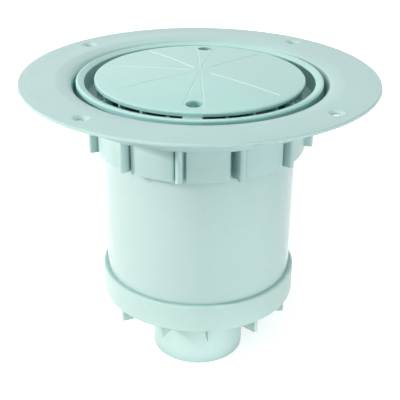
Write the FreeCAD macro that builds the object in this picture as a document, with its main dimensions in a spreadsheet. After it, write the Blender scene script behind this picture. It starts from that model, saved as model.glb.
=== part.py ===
import FreeCAD, Part
import math
import os
import re
import Sketcher

# Shower gully: floor flange with ribbed socket, cover, tube, base cup with outlet, and water trap.
# Millimetres. The origin is the centre of the outlet's end face, +Z is up, -Y is the front.

SIZES = [
    ("flange_height", 176.3, "flange top above the outlet end"),
    ("rim_width", 19.8, "flat of the floor flange, outside the slope into the throat"),
    ("flange_thickness", 2.0, "floor flange plate"),
    ("flange_edge_round", 0.8, "rounding of the flange rim"),
    ("ridge_inset", 9.0, "fine rings start this far inside the flange rim"),
    ("ridge_pitch", 1.2, "one fine ring to the next"),
    ("ridge_height", 0.08, "fine ring above the flange top"),
    ("dish_width", 9.8, "slope into the throat"),
    ("dish_shoulder", 3.6, "gentle part of the slope"),
    ("dish_fall", 0.32, "drop of the gentle part"),
    ("dish_drop", 2.16, "drop of the whole slope"),
    ("dish_round", 26.0, "rounding between the two parts of the slope"),
    ("throat_round", 4.0, "rounding from the slope into the recess"),
    ("recess_depth", 12.0, "flange top to recess floor"),
    ("recess_wall", 5.4, "wall of the recess"),
    ("recess_floor", 2.5, "floor of the recess"),
    ("inlet_inset", 0.5, "opening in the recess floor, inside the tube's bore"),
    ("screw_setback", 9.0, "floor screw holes outside the slope"),
    ("screw_count", 4, "floor screw holes"),
    ("screw_angle", 49.8, "first floor screw hole, degrees"),
    ("screw_hole", 4.6, "floor screw hole"),
    ("screw_head", 8.8, "floor screw countersink"),
    ("screw_sink", 1.2, "floor screw countersink depth"),
    ("body_diameter", 110.0, "tube outside"),
    ("body_wall", 3.0, "tube wall"),
    ("fit_clearance", 0.05, "tube to socket and to cup, on the radius"),
    ("socket_wall", 3.15, "socket wall"),
    ("socket_length", 24.0, "socket below the recess"),
    ("rib_count", 12, "ribs around the socket"),
    ("rib_angle", -9.3, "first socket rib, degrees"),
    ("rib_depth", 6.6, "socket rib beyond the socket"),
    ("rib_width", 3.5, "socket rib"),
    ("rib_length", 23.0, "socket rib below the recess"),
    ("rib_round", 1.6, "rounding of the rib nose"),
    ("pad_rise", 2.2, "raised panel between two ribs, beyond the socket"),
    ("pad_gap", 1.2, "gap between a rib and a raised panel"),
    ("pad_round", 0.8, "rounding of a raised panel's upright edges"),
    ("slit_angle", -72.95, "slit in the socket, degrees"),
    ("slit_width", 3.2, "slit in the socket"),
    ("slit_length", 16.0, "slit from the socket's lower edge"),
    ("seal_section", 1.7, "thickness of the rubber rings"),
    ("seal_drop", 3.6, "socket seal below the recess"),
    ("seal_gap", 0.05, "rubber ring to its groove and tube"),
    ("cover_diameter", 117.2, "domed disc"),
    ("cover_rise", 2.8, "dome above the disc's edge"),
    ("cover_edge_drop", 0.25, "disc's edge below the flange top"),
    ("cover_thickness", 2.4, "disc"),
    ("cover_edge_round", 1.0, "rounding of the disc's edge"),
    ("cover_angle", -93.4, "axis of the cover holes, degrees"),
    ("inlet_gap", 5.5, "gap between the disc and the cover ring"),
    ("ring_width", 4.6, "cover ring"),
    ("cover_clearance", 1.7, "gap between the cover ring and the recess"),
    ("ring_drop", 0.1, "cover ring's outer edge below the flange top"),
    ("ring_slope", 1.5, "cover ring's inner edge below its outer edge"),
    ("ring_round", 1.2, "rounding of the cover ring's outer edge"),
    ("ring_inner_round", 0.5, "rounding of the cover ring's inner edge"),
    ("spoke_count", 24, "ribs under the disc's edge"),
    ("spoke_angle", -1.0, "first rib under the disc, degrees"),
    ("spoke_width", 1.3, "rib under the disc"),
    ("spoke_height", 7.0, "rib under the disc"),
    ("spoke_reach", 5.0, "rib under the disc, from its edge inwards"),
    ("spoke_inset", 0.8, "rib end inside the disc's edge"),
    ("bridge_turn", 30.0, "bridge from the first rib, degrees"),
    ("bridge_drop", 5.5, "bridge between disc and ring below the flange top"),
    ("bridge_width", 2.4, "bridge between disc and ring"),
    ("hole_inset", 9.7, "cover holes inside the disc's edge"),
    ("cover_hole", 5.0, "cover hole"),
    ("cover_head", 8.6, "cover counterbore"),
    ("cover_sink", 4.0, "cover counterbore depth"),
    ("boss_width", 10.0, "boss at each cover hole"),
    ("boss_drop", 3.0, "boss top below the flange top"),
    ("lug_pilot", 3.4, "pilot hole for the cover screw"),
    ("groove_width", 0.9, "groove on the disc"),
    ("groove_depth", 0.2, "groove on the disc"),
    ("groove_inner", 12.0, "circle where the grooves start"),
    ("groove_margin", 5.1, "grooves end this far inside the disc's edge"),
    ("cup_wall", 2.7, "wall of the base cup"),
    ("cup_underside", 44.3, "cup floor's underside above the outlet end"),
    ("cup_floor", 3.0, "cup floor"),
    ("cup_height", 16.2, "cup from its underside to the lip"),
    ("lip_round", 1.2, "rounding of the cup's lip"),
    ("cup_seal_drop", 6.0, "base seal below the lip"),
    ("spigot_diameter", 55.8, "outlet outside"),
    ("spigot_wall", 2.6, "outlet wall"),
    ("spigot_round", 0.8, "rounding of the outlet end"),
    ("spigot_free", 28.0, "straight outlet below its collar"),
    ("collar_step", 0.5, "collar beyond the outlet"),
    ("collar_rise", 1.0, "taper up to the collar"),
    ("gusset_count", 12, "gussets under the cup"),
    ("gusset_angle", 7.4, "first gusset, degrees"),
    ("gusset_inset", 2.0, "gusset inside the cup's outside"),
    ("gusset_width", 2.4, "gusset"),
    ("gusset_depth", 8.9, "gusset below the cup, outside"),
    ("gusset_root", 13.5, "gusset below the cup, at the outlet"),
    ("weir_height", 36.0, "standpipe above the cup floor"),
    ("weir_wall", 2.4, "standpipe wall"),
    ("trap_gap", 10.0, "tube's bore to trap bell"),
    ("bell_wall", 2.0, "trap bell wall"),
    ("bell_headroom", 12.0, "standpipe top to bell top, inside"),
    ("bell_dip", 9.0, "bell's lower edge above the cup floor"),
    ("web_count", 4, "webs inside the bell"),
    ("web_angle", 7.4, "first web inside the bell, degrees"),
    ("web_width", 2.4, "web inside the bell"),
    ("knob_diameter", 14.0, "knob on the bell"),
    ("knob_height", 13.0, "knob on the bell"),
    ("knob_round", 2.5, "rounding of the knob"),
]

# Values that follow from the sizes, each written once.
DERIVED = [
    ("cover_r", "cover_diameter / 2"),
    ("ring_in", "cover_r + inlet_gap"),
    ("ring_out", "ring_in + ring_width"),
    ("throat_r", "ring_out + cover_clearance"),
    ("recess_r", "throat_r + recess_wall"),
    ("dish_r", "throat_r + dish_width"),
    ("screw_r", "dish_r + screw_setback"),
    ("flange_r", "dish_r + rim_width"),
    ("ridge_r", "flange_r - ridge_inset"),
    ("floor_top", "flange_height - recess_depth"),
    ("floor_under", "floor_top - recess_floor"),
    ("body_r", "body_diameter / 2"),
    ("tube_r", "body_r - body_wall"),
    ("inlet_r", "tube_r - inlet_inset"),
    ("bore_r", "body_r + fit_clearance"),
    ("socket_r", "bore_r + socket_wall"),
    ("socket_end", "floor_under - socket_length"),
    ("rib_tip", "socket_r + rib_depth"),
    ("pad_r", "socket_r + pad_rise"),
    ("pad_start", "(rib_width / 2 + pad_gap) / pad_r * 180 / pi"),
    ("seal_mid", "floor_under - seal_drop"),
    ("seal_groove_r", "body_r + seal_section + seal_gap * 2"),
    ("cover_edge", "flange_height - cover_edge_drop"),
    ("dome_r", "(cover_r * cover_r + cover_rise * cover_rise) / (2 * cover_rise)"),
    ("dome_centre", "cover_edge + cover_rise - dome_r"),
    ("ring_top", "flange_height - ring_drop"),
    ("ring_mid", "(ring_in + ring_out) / 2"),
    ("spoke_top", "cover_edge - cover_thickness / 2"),
    ("spoke_start", "cover_r - spoke_reach"),
    ("spoke_low", "spoke_top - spoke_height"),
    ("hole_r", "cover_r - hole_inset"),
    ("hole_face", "dome_centre + sqrt(dome_r * dome_r - hole_r * hole_r)"),
    ("boss_start", "hole_r - boss_width / 2"),
    ("boss_top", "flange_height - boss_drop"),
    ("cup_r", "bore_r + cup_wall"),
    ("cup_inside", "cup_underside + cup_floor"),
    ("cup_lip", "cup_underside + cup_height"),
    ("cup_seal_mid", "cup_lip - cup_seal_drop"),
    ("spigot_r", "spigot_diameter / 2"),
    ("outlet_r", "spigot_r - spigot_wall"),
    ("collar_r", "spigot_r + collar_step"),
    ("weir_r", "outlet_r + weir_wall"),
    ("gusset_r", "cup_r - gusset_inset"),
    ("weir_top", "cup_inside + weir_height"),
    ("bell_r", "tube_r - trap_gap"),
    ("bell_roof", "weir_top + bell_headroom"),
    ("bell_top", "bell_roof + bell_wall"),
    ("bell_foot", "cup_inside + bell_dip"),
]

RIDGES = 5
# Grooves on the disc, degrees either side of the axis through the holes.
GROOVES = [5.8, 55.0, 101.0, 142.0, 174.0]
OVERLAP = 0.4

doc = FreeCAD.newDocument("shower_gully")
sheet = doc.addObject("Spreadsheet::Sheet", "Sizes")
aliases = set()
for row, (alias, value, note) in enumerate(SIZES, 1):
    sheet.set(f"A{row}", note)
    sheet.set(f"B{row}", str(value))
    sheet.setAlias(f"B{row}", alias)
    aliases.add(alias)
doc.recompute()

levels = doc.addObject("App::FeaturePython", "Levels")
derived = {name for name, _ in DERIVED}


def cells(text):
    """Put the owner before each name: the sheet, or the derived values."""
    def owner(match):
        word = match.group()
        if word in derived:
            return "Levels." + word
        return "Sizes." + word if word in aliases else word
    return re.sub(r"[a-z][a-z_]*", owner, text)


for name, text in DERIVED:
    levels.addProperty("App::PropertyFloat", name)
    levels.setExpression(name, cells(text))
doc.recompute()


def number(name):
    """Current value of a size or a derived value."""
    return getattr(levels, name) if name in derived else float(sheet.get(name))


def new_body(label):
    body = doc.addObject("PartDesign::Body", label)
    body.Label = label
    return body


def origin_part(body, role):
    return next(part for part in body.Origin.OriginFeatures if part.Role == role)


def upright_sketch(body, name, angle=None):
    """Sketch in the plane through the axis: x is the radius, y the height."""
    sketch = body.newObject("Sketcher::SketchObject", name)
    sketch.AttachmentSupport = [(origin_part(body, "XZ_Plane"), "")]
    sketch.MapMode = "FlatFace"
    if angle:
        turn = FreeCAD.Rotation(FreeCAD.Vector(0, 1, 0), 10)
        sketch.AttachmentOffset = FreeCAD.Placement(FreeCAD.Vector(), turn)
        sketch.setExpression("AttachmentOffset.Rotation.Angle", cells(angle))
    return sketch


def fix_point(sketch, geometry, end, x, y):
    """Tie one point of the sketch to two expressions."""
    for kind, axis, text in (("DistanceX", -2, x), ("DistanceY", -1, y)):
        if text == "0":
            sketch.addConstraint(Sketcher.Constraint("PointOnObject", geometry, end, axis))
            continue
        here = sketch.getPoint(geometry, end)
        start = here.x if kind == "DistanceX" else here.y
        index = sketch.addConstraint(Sketcher.Constraint(kind, -1, 1, geometry, end, start))
        sketch.setExpression(f"Constraints[{index}]", cells(text))


def hold(sketch, sizes):
    """Tie lengths and radii of the sketch to expressions."""
    for kind, where, now, text in sizes:
        index = sketch.addConstraint(Sketcher.Constraint(kind, *where, now))
        sketch.setExpression(f"Constraints[{index}]", cells(text))


def draw_loop(sketch, points):
    """Closed outline through the points, each held by its own expressions."""
    count = len(points)
    corners = []
    for step in range(count):
        turn = 2 * math.pi * step / count
        corners.append(FreeCAD.Vector(60 + 20 * math.cos(turn), 60 + 20 * math.sin(turn), 0))
    for step in range(count):
        sketch.addGeometry(Part.LineSegment(corners[step], corners[(step + 1) % count]))
    for step in range(count):
        sketch.addConstraint(Sketcher.Constraint("Coincident", step, 2, (step + 1) % count, 1))
    for step, (x, y) in enumerate(points):
        fix_point(sketch, step, 1, x, y)


def revolve(body, sketch, name, turn=None):
    """Turn the outline about the axis, all the way round or by the angle given."""
    feature = body.newObject("PartDesign::Revolution", name)
    feature.Profile = sketch
    feature.ReferenceAxis = (origin_part(body, "Z_Axis"), [""])
    feature.Angle = 360
    if turn:
        feature.setExpression("Angle", cells(turn))
    body.Tip = feature
    doc.recompute()
    return feature


def plate(body, sketch, name, width, kind="Pad"):
    """Flat plate, or a cut, of even thickness either side of the sketch."""
    feature = body.newObject("PartDesign::" + kind, name)
    feature.Profile = sketch
    feature.SideType = "Symmetric"
    feature.setExpression("Length", cells(width))
    body.Tip = feature
    doc.recompute()
    return feature


def around(body, originals, name, count):
    pattern = body.newObject("PartDesign::PolarPattern", name)
    pattern.Originals = originals
    pattern.Axis = (origin_part(body, "Z_Axis"), [""])
    pattern.Angle = 360
    pattern.setExpression("Occurrences", cells(count))
    body.Tip = pattern
    doc.recompute()
    return pattern


def round_edges(body, name, radius, wanted):
    """Round the edges of the tip that the test picks."""
    base = body.Tip
    names = [f"Edge{i}" for i, edge in enumerate(base.Shape.Edges, 1) if wanted(edge)]
    feature = body.newObject("PartDesign::Fillet", name)
    feature.Base = (base, names)
    feature.setExpression("Radius", cells(radius))
    body.Tip = feature
    doc.recompute()
    return feature


def circle_at(radius, height):
    """Test for a circular edge of one radius around the axis at one height."""
    def test(edge):
        if edge.Degenerated or not isinstance(edge.Curve, Part.Circle):
            return False
        curve = edge.Curve
        centred = math.hypot(curve.Center.x, curve.Center.y) < 0.01
        return centred and abs(curve.Radius - radius) < 0.01 and abs(curve.Center.z - height) < 0.01
    return test


def upright_at(radius):
    """Test for an upright edge at one distance from the axis."""
    def test(edge):
        ends = [vertex.Point for vertex in edge.Vertexes]
        upright = len(ends) == 2 and abs(ends[0].z - ends[1].z) > 2
        return upright and all(abs(math.hypot(p.x, p.y) - radius) < 0.1 for p in ends)
    return test


def any_of(*tests):
    return lambda edge: any(test(edge) for test in tests)


def cut_cone(body, name, reach, angle, base, top, height, low):
    """Round tapered cut along Z at a distance from the axis."""
    cone = body.newObject("PartDesign::SubtractiveCone", name)
    cone.AttachmentSupport = [(origin_part(body, "XY_Plane"), "")]
    cone.MapMode = "FlatFace"
    cone.setExpression("AttachmentOffset.Base.x", cells(f"({reach}) * cos(({angle}) * 1 deg)"))
    cone.setExpression("AttachmentOffset.Base.y", cells(f"({reach}) * sin(({angle}) * 1 deg)"))
    cone.setExpression("AttachmentOffset.Base.z", cells(low))
    cone.setExpression("Radius1", cells(base))
    cone.setExpression("Radius2", cells(top))
    cone.setExpression("Height", cells(height))
    body.Tip = cone
    doc.recompute()
    return cone


def cut_hole(body, name, reach, angle, radius, height, low):
    """Straight round hole along Z at a distance from the axis."""
    hole = body.newObject("PartDesign::SubtractiveCylinder", name)
    hole.AttachmentSupport = [(origin_part(body, "XY_Plane"), "")]
    hole.MapMode = "FlatFace"
    hole.setExpression("AttachmentOffset.Base.x", cells(f"({reach}) * cos(({angle}) * 1 deg)"))
    hole.setExpression("AttachmentOffset.Base.y", cells(f"({reach}) * sin(({angle}) * 1 deg)"))
    hole.setExpression("AttachmentOffset.Base.z", cells(low))
    hole.setExpression("Radius", cells(radius))
    hole.setExpression("Height", cells(height))
    body.Tip = hole
    doc.recompute()
    return hole


def make_flange():
    body = new_body("floor_flange")
    points = [
        ("inlet_r", "floor_top"),
        ("throat_r", "floor_top"),
        ("throat_r", "flange_height - dish_drop"),
        ("dish_r - dish_shoulder", "flange_height - dish_fall"),
        ("dish_r", "flange_height"),
    ]
    for step in range(RIDGES):
        start = f"ridge_r + {step} * ridge_pitch"
        points.append((start, "flange_height"))
        points.append((f"{start} + ridge_pitch / 2", "flange_height + ridge_height"))
    points += [
        (f"ridge_r + {RIDGES} * ridge_pitch", "flange_height"),
        ("flange_r", "flange_height"),
        ("flange_r", "flange_height - flange_thickness"),
        ("recess_r", "flange_height - flange_thickness"),
        ("recess_r", "floor_under"),
        ("socket_r", "floor_under"),
        ("socket_r", "socket_end"),
        ("bore_r", "socket_end"),
        ("bore_r", "seal_mid - seal_section / 2 - seal_gap"),
        ("seal_groove_r", "seal_mid - seal_section / 2 - seal_gap"),
        ("seal_groove_r", "seal_mid + seal_section / 2 + seal_gap"),
        ("bore_r", "seal_mid + seal_section / 2 + seal_gap"),
        ("bore_r", "floor_under"),
        ("inlet_r", "floor_under"),
    ]
    outline = upright_sketch(body, "flange_outline")
    draw_loop(outline, points)
    revolve(body, outline, "flange_turned")
    rim = number("flange_r")
    top = number("flange_height")
    round_edges(body, "dish_edge", "dish_round",
                circle_at(number("dish_r") - number("dish_shoulder"), top - number("dish_fall")))
    round_edges(body, "throat_edge", "throat_round",
                circle_at(number("throat_r"), top - number("dish_drop")))

    hole = cut_hole(body, "screw_hole_cut", "screw_r", "screw_angle", "screw_hole / 2",
                    f"flange_thickness + {OVERLAP} * 2",
                    f"flange_height - flange_thickness - {OVERLAP}")
    sink = cut_cone(body, "screw_sink_cut", "screw_r", "screw_angle", "screw_hole / 2",
                    "screw_head - screw_hole / 2", "screw_sink * 2", "flange_height - screw_sink")
    around(body, [hole, sink], "screw_holes", "screw_count")

    round_edges(body, "flange_rim", "flange_edge_round",
                any_of(circle_at(rim, top), circle_at(rim, top - number("flange_thickness"))))

    # Ribs hang from the recess and stand on the socket.
    rib = upright_sketch(body, "rib_outline", "rib_angle")
    draw_loop(rib, [
        (f"socket_r - {OVERLAP}", f"floor_under + {OVERLAP}"),
        ("rib_tip", f"floor_under + {OVERLAP}"),
        ("rib_tip", "floor_under - rib_length"),
        (f"socket_r - {OVERLAP}", "floor_under - rib_length"),
    ])
    one = plate(body, rib, "rib", "rib_width")
    around(body, [one], "ribs", "rib_count")
    round_edges(body, "rib_noses", "rib_round", upright_at(number("rib_tip")))

    # Raised panels between the ribs.
    panel = upright_sketch(body, "panel_outline", "rib_angle + pad_start")
    draw_loop(panel, [
        (f"socket_r - {OVERLAP}", f"floor_under + {OVERLAP}"),
        ("pad_r", f"floor_under + {OVERLAP}"),
        ("pad_r", "socket_end"),
        (f"socket_r - {OVERLAP}", "socket_end"),
    ])
    one = revolve(body, panel, "panel", "360 / rib_count - pad_start * 2")
    around(body, [one], "panels", "rib_count")
    round_edges(body, "panel_edges", "pad_round", upright_at(number("pad_r")))

    slit = upright_sketch(body, "slit_outline", "slit_angle")
    draw_loop(slit, [
        (f"bore_r - {OVERLAP}", f"socket_end - {OVERLAP}"),
        (f"pad_r + {OVERLAP}", f"socket_end - {OVERLAP}"),
        (f"pad_r + {OVERLAP}", "floor_under"),
        ("socket_r", "floor_under"),
        ("socket_r", "socket_end + slit_length"),
        (f"bore_r - {OVERLAP}", "socket_end + slit_length"),
    ])
    plate(body, slit, "slit", "slit_width", "Pocket")

    # Lugs inside the inlet take the cover screws.
    for side, turn in enumerate(("cover_angle", "cover_angle + 180")):
        lug = upright_sketch(body, f"lug_outline_{side}", turn)
        draw_loop(lug, [
            ("boss_start", "floor_under"),
            (f"inlet_r + {OVERLAP}", "floor_under"),
            (f"inlet_r + {OVERLAP}", "floor_top"),
            ("boss_start", "floor_top"),
        ])
        plate(body, lug, f"lug_{side}", "boss_width")
        cut_hole(body, f"lug_pilot_{side}", "hole_r", turn, "lug_pilot / 2",
                 f"recess_floor + {OVERLAP} * 2", f"floor_under - {OVERLAP}")

    return body


def make_cover():
    body = new_body("cover_plate")

    # Disc: an arc over the top and one below it, both about the dome's centre, and a round edge.
    disc = upright_sketch(body, "disc_outline")
    edge = number("cover_r")
    top = number("cover_edge") + number("cover_rise")
    thick = number("cover_thickness")
    small = number("cover_edge_round")
    radius = number("dome_r")
    across = FreeCAD.Vector(0, 0, 1)
    centre = FreeCAD.Vector(0, number("dome_centre"), 0)
    low_turn = math.acos(edge / (radius - thick))
    low_edge = centre.y + (radius - thick) * math.sin(low_turn)
    turn = math.acos((edge - small) / (radius - small))
    corner = FreeCAD.Vector(edge - small, centre.y + (radius - small) * math.sin(turn), 0)
    disc.addGeometry(Part.ArcOfCircle(Part.Circle(centre, across, radius), turn, math.pi / 2))
    disc.addGeometry(Part.LineSegment(
        FreeCAD.Vector(0, top, 0), FreeCAD.Vector(0, top - thick, 0)))
    disc.addGeometry(Part.ArcOfCircle(
        Part.Circle(centre, across, radius - thick), low_turn, math.pi / 2))
    disc.addGeometry(Part.LineSegment(
        FreeCAD.Vector(edge, low_edge, 0), FreeCAD.Vector(edge, corner.y, 0)))
    disc.addGeometry(Part.ArcOfCircle(Part.Circle(corner, across, small), 0, turn))
    for pair in ((0, 2, 1, 1), (1, 2, 2, 2), (2, 1, 3, 1), (0, 3, 2, 3)):
        disc.addConstraint(Sketcher.Constraint("Coincident", *pair))
    for pair in ((3, 2, 4, 1), (4, 2, 0, 1)):
        disc.addConstraint(Sketcher.Constraint("Tangent", *pair))
    for point in ((0, 3), (0, 2), (1, 2)):
        disc.addConstraint(Sketcher.Constraint("PointOnObject", *point, -2))
    disc.addConstraint(Sketcher.Constraint("Vertical", 3))
    hold(disc, (
        ("DistanceY", (-1, 1, 0, 3), centre.y, "dome_centre"),
        ("DistanceY", (1, 2, 1, 1), thick, "cover_thickness"),
        ("DistanceX", (-1, 1, 3, 1), edge, "cover_r"),
        ("Radius", (0,), radius, "dome_r"),
        ("Radius", (4,), small, "cover_edge_round"),
    ))
    revolve(body, disc, "disc")

    # A boss at each hole bridges the gap and stands on the lug below.
    for side, turn in enumerate(("cover_angle", "cover_angle + 180")):
        boss = upright_sketch(body, f"boss_outline_{side}", turn)
        draw_loop(boss, [
            ("boss_start", "floor_top"),
            ("ring_mid", "floor_top"),
            ("ring_mid", "boss_top"),
            ("cover_r - spoke_inset", "boss_top"),
            ("cover_r - spoke_inset", "spoke_top"),
            ("boss_start", "spoke_top"),
        ])
        plate(body, boss, f"boss_{side}", "boss_width")

    # Grooves follow the dome: each is cut by a thin layer of the dome.
    for step, offset in enumerate(GROOVES):
        for side in (-1, 1):
            turn = f"cover_angle + {side * offset}"
            groove = upright_sketch(body, f"groove_outline_{step}_{side + 1}", turn)
            draw_groove(groove)
            plate(body, groove, f"groove_{step}_{side + 1}", "groove_width", "Pocket")

    # Ribs under the disc's edge, some of them carried on to the ring.
    spoke = upright_sketch(body, "spoke_outline", "spoke_angle")
    draw_loop(spoke, [
        ("spoke_start", "spoke_low"),
        ("cover_r - spoke_inset", "spoke_low"),
        ("cover_r - spoke_inset", "spoke_top"),
        ("spoke_start", "spoke_top"),
    ])
    one = plate(body, spoke, "spoke", "spoke_width")
    around(body, [one], "spokes", "spoke_count")
    for side, turn in enumerate(("spoke_angle + bridge_turn", "spoke_angle - bridge_turn")):
        bridge = upright_sketch(body, f"bridge_outline_{side}", turn)
        draw_loop(bridge, [
            ("spoke_start", "spoke_low"),
            ("ring_mid", "spoke_low"),
            ("ring_mid", "flange_height - bridge_drop"),
            ("spoke_start", "flange_height - bridge_drop"),
        ])
        half = plate(body, bridge, f"bridge_{side}", "bridge_width")
        around(body, [half], f"bridges_{side}", "2")

    for side, turn in enumerate(("cover_angle", "cover_angle + 180")):
        cut_hole(body, f"cover_hole_{side}", "hole_r", turn, "cover_hole / 2",
                 "recess_depth + cover_rise * 2", f"floor_top - {OVERLAP}")
        cut_hole(body, f"cover_sink_{side}", "hole_r", turn, "cover_head / 2",
                 "cover_sink * 2", "hole_face - cover_sink")

    ring = upright_sketch(body, "ring_outline")
    draw_loop(ring, [
        ("ring_in", "floor_top"),
        ("ring_out", "floor_top"),
        ("ring_out", "ring_top"),
        ("ring_in", "ring_top - ring_slope"),
    ])
    revolve(body, ring, "ring")
    ring_top = number("ring_top")
    round_edges(body, "ring_outer_edge", "ring_round",
                circle_at(number("ring_out"), ring_top))
    round_edges(body, "ring_inner_edge", "ring_inner_round",
                circle_at(number("ring_in"), ring_top - number("ring_slope")))
    return body


def draw_groove(sketch):
    """Thin strip along the dome's arc, from the inner to the outer groove circle."""
    centre = FreeCAD.Vector(0, number("dome_centre"), 0)
    low = number("dome_r") - number("groove_depth")
    high = number("dome_r") + number("groove_depth")
    start = number("groove_inner") / 2
    stop = number("cover_r") - number("groove_margin")
    for radius in (low, high):
        sketch.addGeometry(Part.ArcOfCircle(
            Part.Circle(centre, FreeCAD.Vector(0, 0, 1), radius),
            math.acos(stop / radius), math.acos(start / radius)))
    ends = [[sketch.getPoint(arc, end) for end in (1, 2)] for arc in (0, 1)]
    sketch.addGeometry(Part.LineSegment(ends[0][0], ends[1][0]))
    sketch.addGeometry(Part.LineSegment(ends[0][1], ends[1][1]))
    for pair in ((0, 1, 2, 1), (1, 1, 2, 2), (0, 2, 3, 1), (1, 2, 3, 2), (0, 3, 1, 3)):
        sketch.addConstraint(Sketcher.Constraint("Coincident", *pair))
    sketch.addConstraint(Sketcher.Constraint("Vertical", 2))
    sketch.addConstraint(Sketcher.Constraint("Vertical", 3))
    sketch.addConstraint(Sketcher.Constraint("PointOnObject", 0, 3, -2))
    hold(sketch, (
        ("DistanceY", (-1, 1, 0, 3), centre.y, "dome_centre"),
        ("Radius", (0,), low, "dome_r - groove_depth"),
        ("Radius", (1,), high, "dome_r + groove_depth"),
        ("DistanceX", (-1, 1, 0, 1), stop, "cover_r - groove_margin"),
        ("DistanceX", (-1, 1, 0, 2), start, "groove_inner / 2"),
    ))


def make_tube():
    body = new_body("gully_body")
    outline = upright_sketch(body, "tube_outline")
    draw_loop(outline, [
        ("tube_r", "cup_inside"),
        ("body_r", "cup_inside"),
        ("body_r", "floor_under"),
        ("tube_r", "floor_under"),
    ])
    revolve(body, outline, "tube_turned")
    return body


def make_base():
    body = new_body("base_cup")
    outline = upright_sketch(body, "cup_outline")
    draw_loop(outline, [
        ("outlet_r", "cup_underside"),
        ("cup_r", "cup_underside"),
        ("cup_r", "cup_lip"),
        ("bore_r", "cup_lip"),
        ("bore_r", "cup_seal_mid + seal_section / 2 + seal_gap"),
        ("seal_groove_r", "cup_seal_mid + seal_section / 2 + seal_gap"),
        ("seal_groove_r", "cup_seal_mid - seal_section / 2 - seal_gap"),
        ("bore_r", "cup_seal_mid - seal_section / 2 - seal_gap"),
        ("bore_r", "cup_inside"),
        ("outlet_r", "cup_inside"),
    ])
    revolve(body, outline, "cup_turned")
    round_edges(body, "lip_edge", "lip_round", circle_at(number("cup_r"), number("cup_lip")))
    return body


def make_outlet():
    body = new_body("outlet_spigot")
    outline = upright_sketch(body, "spigot_outline")
    draw_loop(outline, [
        ("outlet_r", "0"),
        ("spigot_r", "0"),
        ("spigot_r", "spigot_free"),
        ("collar_r", "spigot_free + collar_rise"),
        ("collar_r", "cup_underside"),
        ("outlet_r", "cup_underside"),
    ])
    revolve(body, outline, "spigot_turned")
    round_edges(body, "outlet_edge", "spigot_round", circle_at(number("spigot_r"), 0))
    gusset = upright_sketch(body, "gusset_outline", "gusset_angle")
    draw_loop(gusset, [
        (f"spigot_r - {OVERLAP}", "cup_underside"),
        ("gusset_r", "cup_underside"),
        ("gusset_r", "cup_underside - gusset_depth"),
        (f"spigot_r - {OVERLAP}", "cup_underside - gusset_root"),
    ])
    one = plate(body, gusset, "gusset", "gusset_width")
    around(body, [one], "gussets", "gusset_count")
    return body


def make_standpipe():
    body = new_body("standpipe")
    outline = upright_sketch(body, "standpipe_outline")
    draw_loop(outline, [
        ("outlet_r", "cup_inside"),
        ("weir_r", "cup_inside"),
        ("weir_r", "weir_top"),
        ("outlet_r", "weir_top"),
    ])
    revolve(body, outline, "standpipe_turned")
    return body


def make_bell():
    body = new_body("trap_bell")
    outline = upright_sketch(body, "bell_outline")
    draw_loop(outline, [
        ("bell_r - bell_wall", "bell_foot"),
        ("bell_r", "bell_foot"),
        ("bell_r", "bell_top"),
        ("knob_diameter / 2", "bell_top"),
        ("knob_diameter / 2", "bell_top + knob_height"),
        ("0", "bell_top + knob_height"),
        ("0", "bell_roof"),
        ("bell_r - bell_wall", "bell_roof"),
    ])
    revolve(body, outline, "bell_turned")
    web = upright_sketch(body, "web_outline", "web_angle")
    draw_loop(web, [
        ("outlet_r - bell_wall", "weir_top"),
        (f"bell_r - bell_wall + {OVERLAP}", "weir_top"),
        (f"bell_r - bell_wall + {OVERLAP}", f"bell_roof + {OVERLAP}"),
        ("outlet_r - bell_wall", f"bell_roof + {OVERLAP}"),
    ])
    one = plate(body, web, "web", "web_width")
    around(body, [one], "webs", "web_count")
    round_edges(body, "knob_edge", "knob_round",
                circle_at(number("knob_diameter") / 2,
                          number("bell_top") + number("knob_height")))
    return body


def make_seal(label, middle):
    """Rubber ring in its groove, round in section."""
    ring = doc.addObject("Part::Torus", label)
    ring.Label = label
    ring.setExpression("Radius1", cells("body_r + seal_gap + seal_section / 2"))
    ring.setExpression("Radius2", cells("seal_section / 2"))
    ring.setExpression("Placement.Base.z", cells(middle))
    return ring


pieces = [
    make_flange(),
    make_cover(),
    make_tube(),
    make_base(),
    make_outlet(),
    make_standpipe(),
    make_bell(),
    make_seal("socket_seal", "seal_mid"),
    make_seal("base_seal", "cup_seal_mid"),
]
doc.recompute()

for item in doc.Objects:
    if "Invalid" in item.State or "Error" in item.State:
        raise RuntimeError(f"{item.Label} did not build: {item.State}")
for piece in pieces:
    before = 0.0
    for step in getattr(piece, "Group", []):
        if step.isDerivedFrom("PartDesign::Feature"):
            if step.Shape.Volume < before * 0.9:
                raise RuntimeError(f"{step.Label} lost part of {piece.Label}")
            before = step.Shape.Volume
os.makedirs("parts", exist_ok=True)
for piece in pieces:
    shape = piece.Shape
    if not shape.isValid() or len(shape.Solids) != 1:
        raise RuntimeError(f"{piece.Label} is not one valid solid")
    shape.exportStep(os.path.join("parts", piece.Label + ".step"))
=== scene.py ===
import math

import bpy
from mathutils import Matrix, Vector

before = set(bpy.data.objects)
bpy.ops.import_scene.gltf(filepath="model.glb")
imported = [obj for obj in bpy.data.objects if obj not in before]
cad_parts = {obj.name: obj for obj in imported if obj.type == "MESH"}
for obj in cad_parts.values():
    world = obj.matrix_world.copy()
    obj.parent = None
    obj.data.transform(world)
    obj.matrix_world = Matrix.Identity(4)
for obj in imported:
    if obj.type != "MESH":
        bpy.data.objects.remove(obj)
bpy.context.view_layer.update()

# Camera, from the photograph: focal length in pixels of a 400 pixel frame, angles in degrees.
FOCAL_PX = 864.3
FRAME_PX = 400
SENSOR_MM = 36
CLIP_START = 0.01
PITCH = 26.348
ROLL = 0.579
CAMERA_AT = Vector((0.00072, -0.46177, 0.32737))

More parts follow.
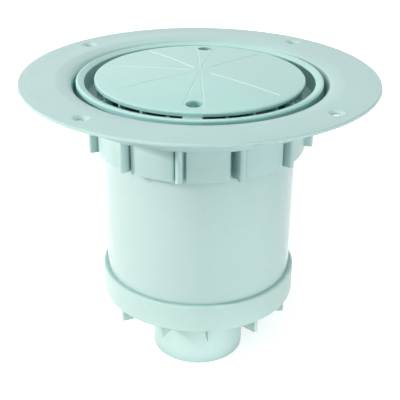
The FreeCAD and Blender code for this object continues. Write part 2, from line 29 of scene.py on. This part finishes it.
# Lamps stand around the aim. Strength 1 shows a surface that faces the lamp in its own colour.
BODY_AIM = Vector((0, 0, 0.09))
FOOT_AIM = Vector((0, 0, 0.006))
LAMPS = (
    # name, aim, azimuth from the front to the right, elevation, distance,
    # width and height, beam, strength, tint
    ("key", BODY_AIM, -82, 22, 1.2, (0.12, 0.12), 180, 0.88, (1.0, 0.92, 0.93)),
    ("front", BODY_AIM, 5, 48, 1.2, (1.0, 0.5), 180, 0.31, (1.0, 1.0, 1.0)),
    ("overhead", BODY_AIM, 0, 90, 1.2, (2.0, 2.0), 180, 0.6, (0.8, 0.97, 1.0)),
    ("back", BODY_AIM, 180, 38, 1.2, (1.5, 1.0), 180, 0.08, (0.9, 1.0, 1.0)),
    ("rear", BODY_AIM, 180, 3, 1.2, (1.5, 0.3), 180, 0.3, (1.0, 0.98, 1.0)),
    ("right", BODY_AIM, 44, 8, 1.2, (0.9, 0.3), 180, 0.46, (0.98, 0.96, 1.0)),
    ("foot", FOOT_AIM, 5, 1.5, 0.6, (0.1, 0.02), 12, 0.6, (1.0, 0.92, 0.98)),
)
NO_MIRROR_IMAGE = ("key", "rear")   # these would glare across the top from the opposite side
AMBIENT = 0.02
WHITE = (1.0, 1.0, 1.0, 1.0)

# The floor's own glow rises from the first strength to the second between two distances.
FLOOR_HALF_WIDTH = 3.0
FLOOR_COLOUR = (0.85, 0.85, 0.85, 1.0)
FLOOR_GLOW = (0.58, 1.0)
FLOOR_GLOW_AT = (0.3, 1.2)

# Plastic. Scales count features per metre, reaches and heights are metres.
CLOUD_SCALE = 26
MOTTLE_SCALE = 300
GRAIN_SCALE = 600
SPECK_SCALE = 120
SPECK_RARITY = 0.992        # share of the cells without a speck
SPECK_RADIUS = 0.045        # in cells
SPECK_STRENGTH = 0.55
SPECK_COLOUR = (96, 104, 104)
# Painted shade: crevices, gaps and recesses are darkened in colour where other surfaces close them
# in.
PAINTED_SHADE_REACH = 0.012
PAINTED_SHADE_LEFT = (0.4, 0.58, 0.62, 1.0)   # share of each colour channel left in the painted shade of crevices
# Painted highlight: narrow grooves are lightened where they are closed in, so they read as lit
# lines.
GROOVE_HIGHLIGHT_REACH = 0.0008
GROOVE_HIGHLIGHT_STRENGTH = 0.8
GROOVE_HIGHLIGHT_OPENNESS = (0.72, 0.98)
GROOVE_HIGHLIGHT_COLOUR = (236, 252, 250)
WAVE_HEIGHT = 0.0006
WAVE_STRENGTH = 0.12
GRAIN_HEIGHT = 0.00001
GRAIN_STRENGTH = 0.1
ROUGHNESS_SWING = 0.03
PLASTIC_IOR = 1.46


def srgb(red, green, blue):
    """Scene colour of a screen colour given as 0 to 255."""
    def linear(channel):
        part = channel / 255
        return part / 12.92 if part <= 0.04045 else ((part + 0.055) / 1.055) ** 2.4
    return (linear(red), linear(green), linear(blue), 1.0)


def scaled(colour, factor):
    return tuple(channel * factor for channel in colour[:3]) + (1.0,)


def add_camera():
    data = bpy.data.cameras.new("camera")
    data.sensor_width = SENSOR_MM
    data.lens = FOCAL_PX / FRAME_PX * SENSOR_MM
    data.clip_start = CLIP_START
    camera = bpy.data.objects.new("camera", data)
    bpy.context.scene.collection.objects.link(camera)
    pitch = math.radians(PITCH)
    roll = math.radians(ROLL)
    right = Vector((1, 0, 0))
    up = Vector((0, math.sin(pitch), math.cos(pitch)))
    side = right * math.cos(roll) + up * math.sin(roll)
    top = up * math.cos(roll) - right * math.sin(roll)
    turn = Matrix((side, top, side.cross(top))).transposed().to_4x4()
    camera.matrix_world = Matrix.Translation(CAMERA_AT) @ turn
    bpy.context.scene.camera = camera


def add_lamp(name, aim, azimuth, elevation, distance, size, beam, strength, tint):
    data = bpy.data.lights.new(name, "AREA")
    data.shape = "RECTANGLE"
    data.size, data.size_y = size
    data.spread = math.radians(beam)
    half = math.radians(beam) / 2
    data.energy = strength * (math.pi * distance) ** 2 * (1 - half / math.tan(half))
    data.color = tint
    lamp = bpy.data.objects.new(name, data)
    bpy.context.scene.collection.objects.link(lamp)
    turn = math.radians(azimuth)
    rise = math.radians(elevation)
    level = math.cos(rise)
    towards = Vector((level * math.sin(turn), -level * math.cos(turn), math.sin(rise)))
    lamp.location = aim + towards * distance
    lamp.rotation_euler = (-towards).to_track_quat("-Z", "Y").to_euler()
    lamp.visible_camera = False
    lamp.visible_glossy = name not in NO_MIRROR_IMAGE


class Shading:
    """A node tree with short ways to add nodes and join them."""

    def __init__(self, owner):
        owner.use_nodes = True
        self.tree = owner.node_tree
        self.tree.nodes.clear()

    def add(self, kind, inputs=(), **settings):
        node = self.tree.nodes.new("ShaderNode" + kind)
        for name, value in settings.items():
            setattr(node, name, value)
        for key, value in dict(inputs).items():
            if isinstance(value, bpy.types.NodeSocket):
                self.tree.links.new(value, node.inputs[key])
            else:
                node.inputs[key].default_value = value
        return node

    def noise(self, where, scale, detail):
        node = self.add("TexNoise", {"Vector": where, "Scale": scale, "Detail": detail})
        return node.outputs["Fac"]

    def spread(self, value, low, high, start=0.3, end=0.7):
        """Map a value smoothly from start..end, where most noise lies, to low..high."""
        node = self.add("MapRange", {
            "Value": value, "From Min": start, "From Max": end, "To Min": low, "To Max": high,
        }, interpolation_type="SMOOTHSTEP")
        return node.outputs["Result"]

    def maths(self, operation, first, second):
        return self.add("Math", {0: first, 1: second}, operation=operation).outputs[0]

    def mixed(self, factor, first, second):
        """Blend two colours. The colour sockets of this node are its inputs 6 and 7."""
        return self.add("Mix", {0: factor, 6: first, 7: second}, data_type="RGBA").outputs[2]

    def seen(self):
        """1 for rays that show the background to the camera, directly or in a surface, else 0."""
        path = self.add("LightPath").outputs
        mirrored = self.maths("MAXIMUM", path["Is Glossy Ray"], path["Is Transmission Ray"])
        return self.maths("MAXIMUM", path["Is Camera Ray"], mirrored)

    def hidden(self, reach, most, closed=0.3, clear=0.9):
        """Occlusion mask for painted shade and painted highlight: 0 on open surfaces, rising to
        most where other surfaces within reach close them in.
        """
        node = self.add("AmbientOcclusion", {"Distance": reach}, samples=8)
        return self.spread(node.outputs["AO"], most, 0.0, closed, clear)

    def bumped(self, height, distance, strength, normal=None):
        inputs = {"Height": height, "Distance": distance, "Strength": strength}
        if normal is not None:
            inputs["Normal"] = normal
        return self.add("Bump", inputs).outputs["Normal"]


def add_world():
    """White where it is seen, and a faint light everywhere else."""
    world = bpy.data.worlds.new("studio")
    bpy.context.scene.world = world
    shading = Shading(world)
    strength = shading.spread(shading.seen(), AMBIENT, 1.0, 0.0, 1.0)
    light = shading.add("Background", {"Color": WHITE, "Strength": strength})
    shading.add("OutputWorld", {"Surface": light.outputs[0]})


def add_floor():
    """Pale floor that keeps the shadow near the part and stays white far from the lamps."""
    mesh = bpy.data.meshes.new("floor")
    half = FLOOR_HALF_WIDTH
    mesh.from_pydata([(-half, -half, 0), (half, -half, 0), (half, half, 0), (-half, half, 0)],
                     [], [(0, 1, 2, 3)])
    floor = bpy.data.objects.new("floor", mesh)
    bpy.context.scene.collection.objects.link(floor)
    material = bpy.data.materials.new("floor")
    shading = Shading(material)
    where = shading.add("TexCoord").outputs["Object"]
    distance = shading.add("VectorMath", {0: where}, operation="LENGTH").outputs["Value"]
    glow_here = shading.spread(distance, *FLOOR_GLOW, *FLOOR_GLOW_AT)
    strength = shading.maths("MULTIPLY", shading.seen(), glow_here)
    glow = shading.add("Emission", {"Color": WHITE, "Strength": strength})
    matt = shading.add("BsdfDiffuse", {"Color": FLOOR_COLOUR})
    both = shading.add("AddShader", {0: matt.outputs[0], 1: glow.outputs[0]})
    shading.add("OutputMaterial", {"Surface": both.outputs[0]})
    mesh.materials.append(material)


def specks(shading, where):
    """The strength of a few small specks at chance places."""
    cell = shading.add("TexVoronoi", {"Vector": where, "Scale": SPECK_SCALE}).outputs
    chance = shading.add("SeparateColor", {"Color": cell["Color"]}).outputs["Red"]
    rare = shading.maths("GREATER_THAN", chance, SPECK_RARITY)
    near = shading.maths("LESS_THAN", cell["Distance"], SPECK_RADIUS)
    return shading.maths("MULTIPLY", shading.maths("MULTIPLY", rare, near), SPECK_STRENGTH)


def plastic(name, colour, rough, streak=1.0, edge=0.0004, shade=0.6, painted_groove_highlight=False):
    """Pale plastic: faint clouds and specks in the colour, uneven gloss, fine grain, soft edges
    and painted shade in crevices, with a painted highlight in grooves if asked. A streak below 1
    draws the clouds out along the height, as on an extruded tube."""
    material = bpy.data.materials.new(name)
    shading = Shading(material)
    where = shading.add("TexCoord").outputs["Object"]
    drawn = shading.add("Mapping", {"Vector": where, "Scale": (1, 1, streak)}).outputs["Vector"]
    cloud = shading.noise(drawn, CLOUD_SCALE, 1.0)
    mottle = shading.noise(where, MOTTLE_SCALE, 2.0)
    grain = shading.noise(where, GRAIN_SCALE, 1.0)

    tone = shading.mixed(shading.spread(cloud, 0, 1), scaled(colour, 0.97), scaled(colour, 1.025))
    tone = shading.mixed(shading.spread(mottle, 0, 0.35), tone, scaled(colour, 0.965))
    tone = shading.mixed(specks(shading, where), tone, srgb(*SPECK_COLOUR))
    # Painted shade: the colour turns darker where the surface is closed in.
    painted_shade_colour = tuple(map(math.prod, zip(colour, PAINTED_SHADE_LEFT)))
    tone = shading.mixed(shading.hidden(PAINTED_SHADE_REACH, shade), tone, painted_shade_colour)
    # Painted highlight: the closed-in floors of the grooves are lightened.
    if painted_groove_highlight:
        groove_highlight = shading.hidden(GROOVE_HIGHLIGHT_REACH, GROOVE_HIGHLIGHT_STRENGTH, *GROOVE_HIGHLIGHT_OPENNESS)
        tone = shading.mixed(groove_highlight, tone, srgb(*GROOVE_HIGHLIGHT_COLOUR))

    soft = shading.add("Bevel", {"Radius": edge}, samples=4).outputs["Normal"]
    wavy = shading.bumped(cloud, WAVE_HEIGHT, WAVE_STRENGTH, soft)
    fine = shading.bumped(grain, GRAIN_HEIGHT, GRAIN_STRENGTH, wavy)
    shader = shading.add("BsdfPrincipled", {
        "Base Color": tone,
        "Roughness": shading.spread(cloud, rough - ROUGHNESS_SWING, rough + ROUGHNESS_SWING),
        "IOR": PLASTIC_IOR,
        "Normal": fine,
    })
    shading.add("OutputMaterial", {"Surface": shader.outputs[0]})
    return material


def rubber(name, colour):
    """Dark rubber with faint clouds and a matt grain."""
    material = bpy.data.materials.new(name)
    shading = Shading(material)
    where = shading.add("TexCoord").outputs["Object"]
    cloud = shading.noise(where, 90, 3.0)
    grain = shading.noise(where, 1800, 2.0)
    tone = shading.mixed(shading.spread(cloud, 0, 1), scaled(colour, 0.8), scaled(colour, 1.4))
    shader = shading.add("BsdfPrincipled", {
        "Base Color": tone,
        "Roughness": shading.spread(grain, 0.62, 0.82),
        "Normal": shading.bumped(grain, 0.00005, 0.5),
    })
    shading.add("OutputMaterial", {"Surface": shader.outputs[0]})
    return material


def dress(material, *nodes):
    for node in nodes:
        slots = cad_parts[node].data.materials
        slots.clear()
        slots.append(material)


add_camera()
add_world()
add_floor()
for lamp in LAMPS:
    add_lamp(*lamp)
dress(plastic("flange_plastic", srgb(182, 212, 207), 0.31, shade=0.4), "floor_flange")
dress(plastic("cover_plastic", srgb(180, 221, 213), 0.31, edge=0.0001, painted_groove_highlight=True),
      "cover_plate")
dress(plastic("tube_plastic", srgb(184, 212, 207), 0.16, streak=0.15), "gully_body")
dress(plastic("base_plastic", srgb(185, 213, 206), 0.32), "base_cup", "outlet_spigot", "standpipe")
dress(plastic("bell_plastic", srgb(178, 210, 205), 0.4), "trap_bell")
dress(rubber("seal_rubber", srgb(42, 42, 44)), "socket_seal", "base_seal")
bpy.context.scene.view_settings.view_transform = "Standard"
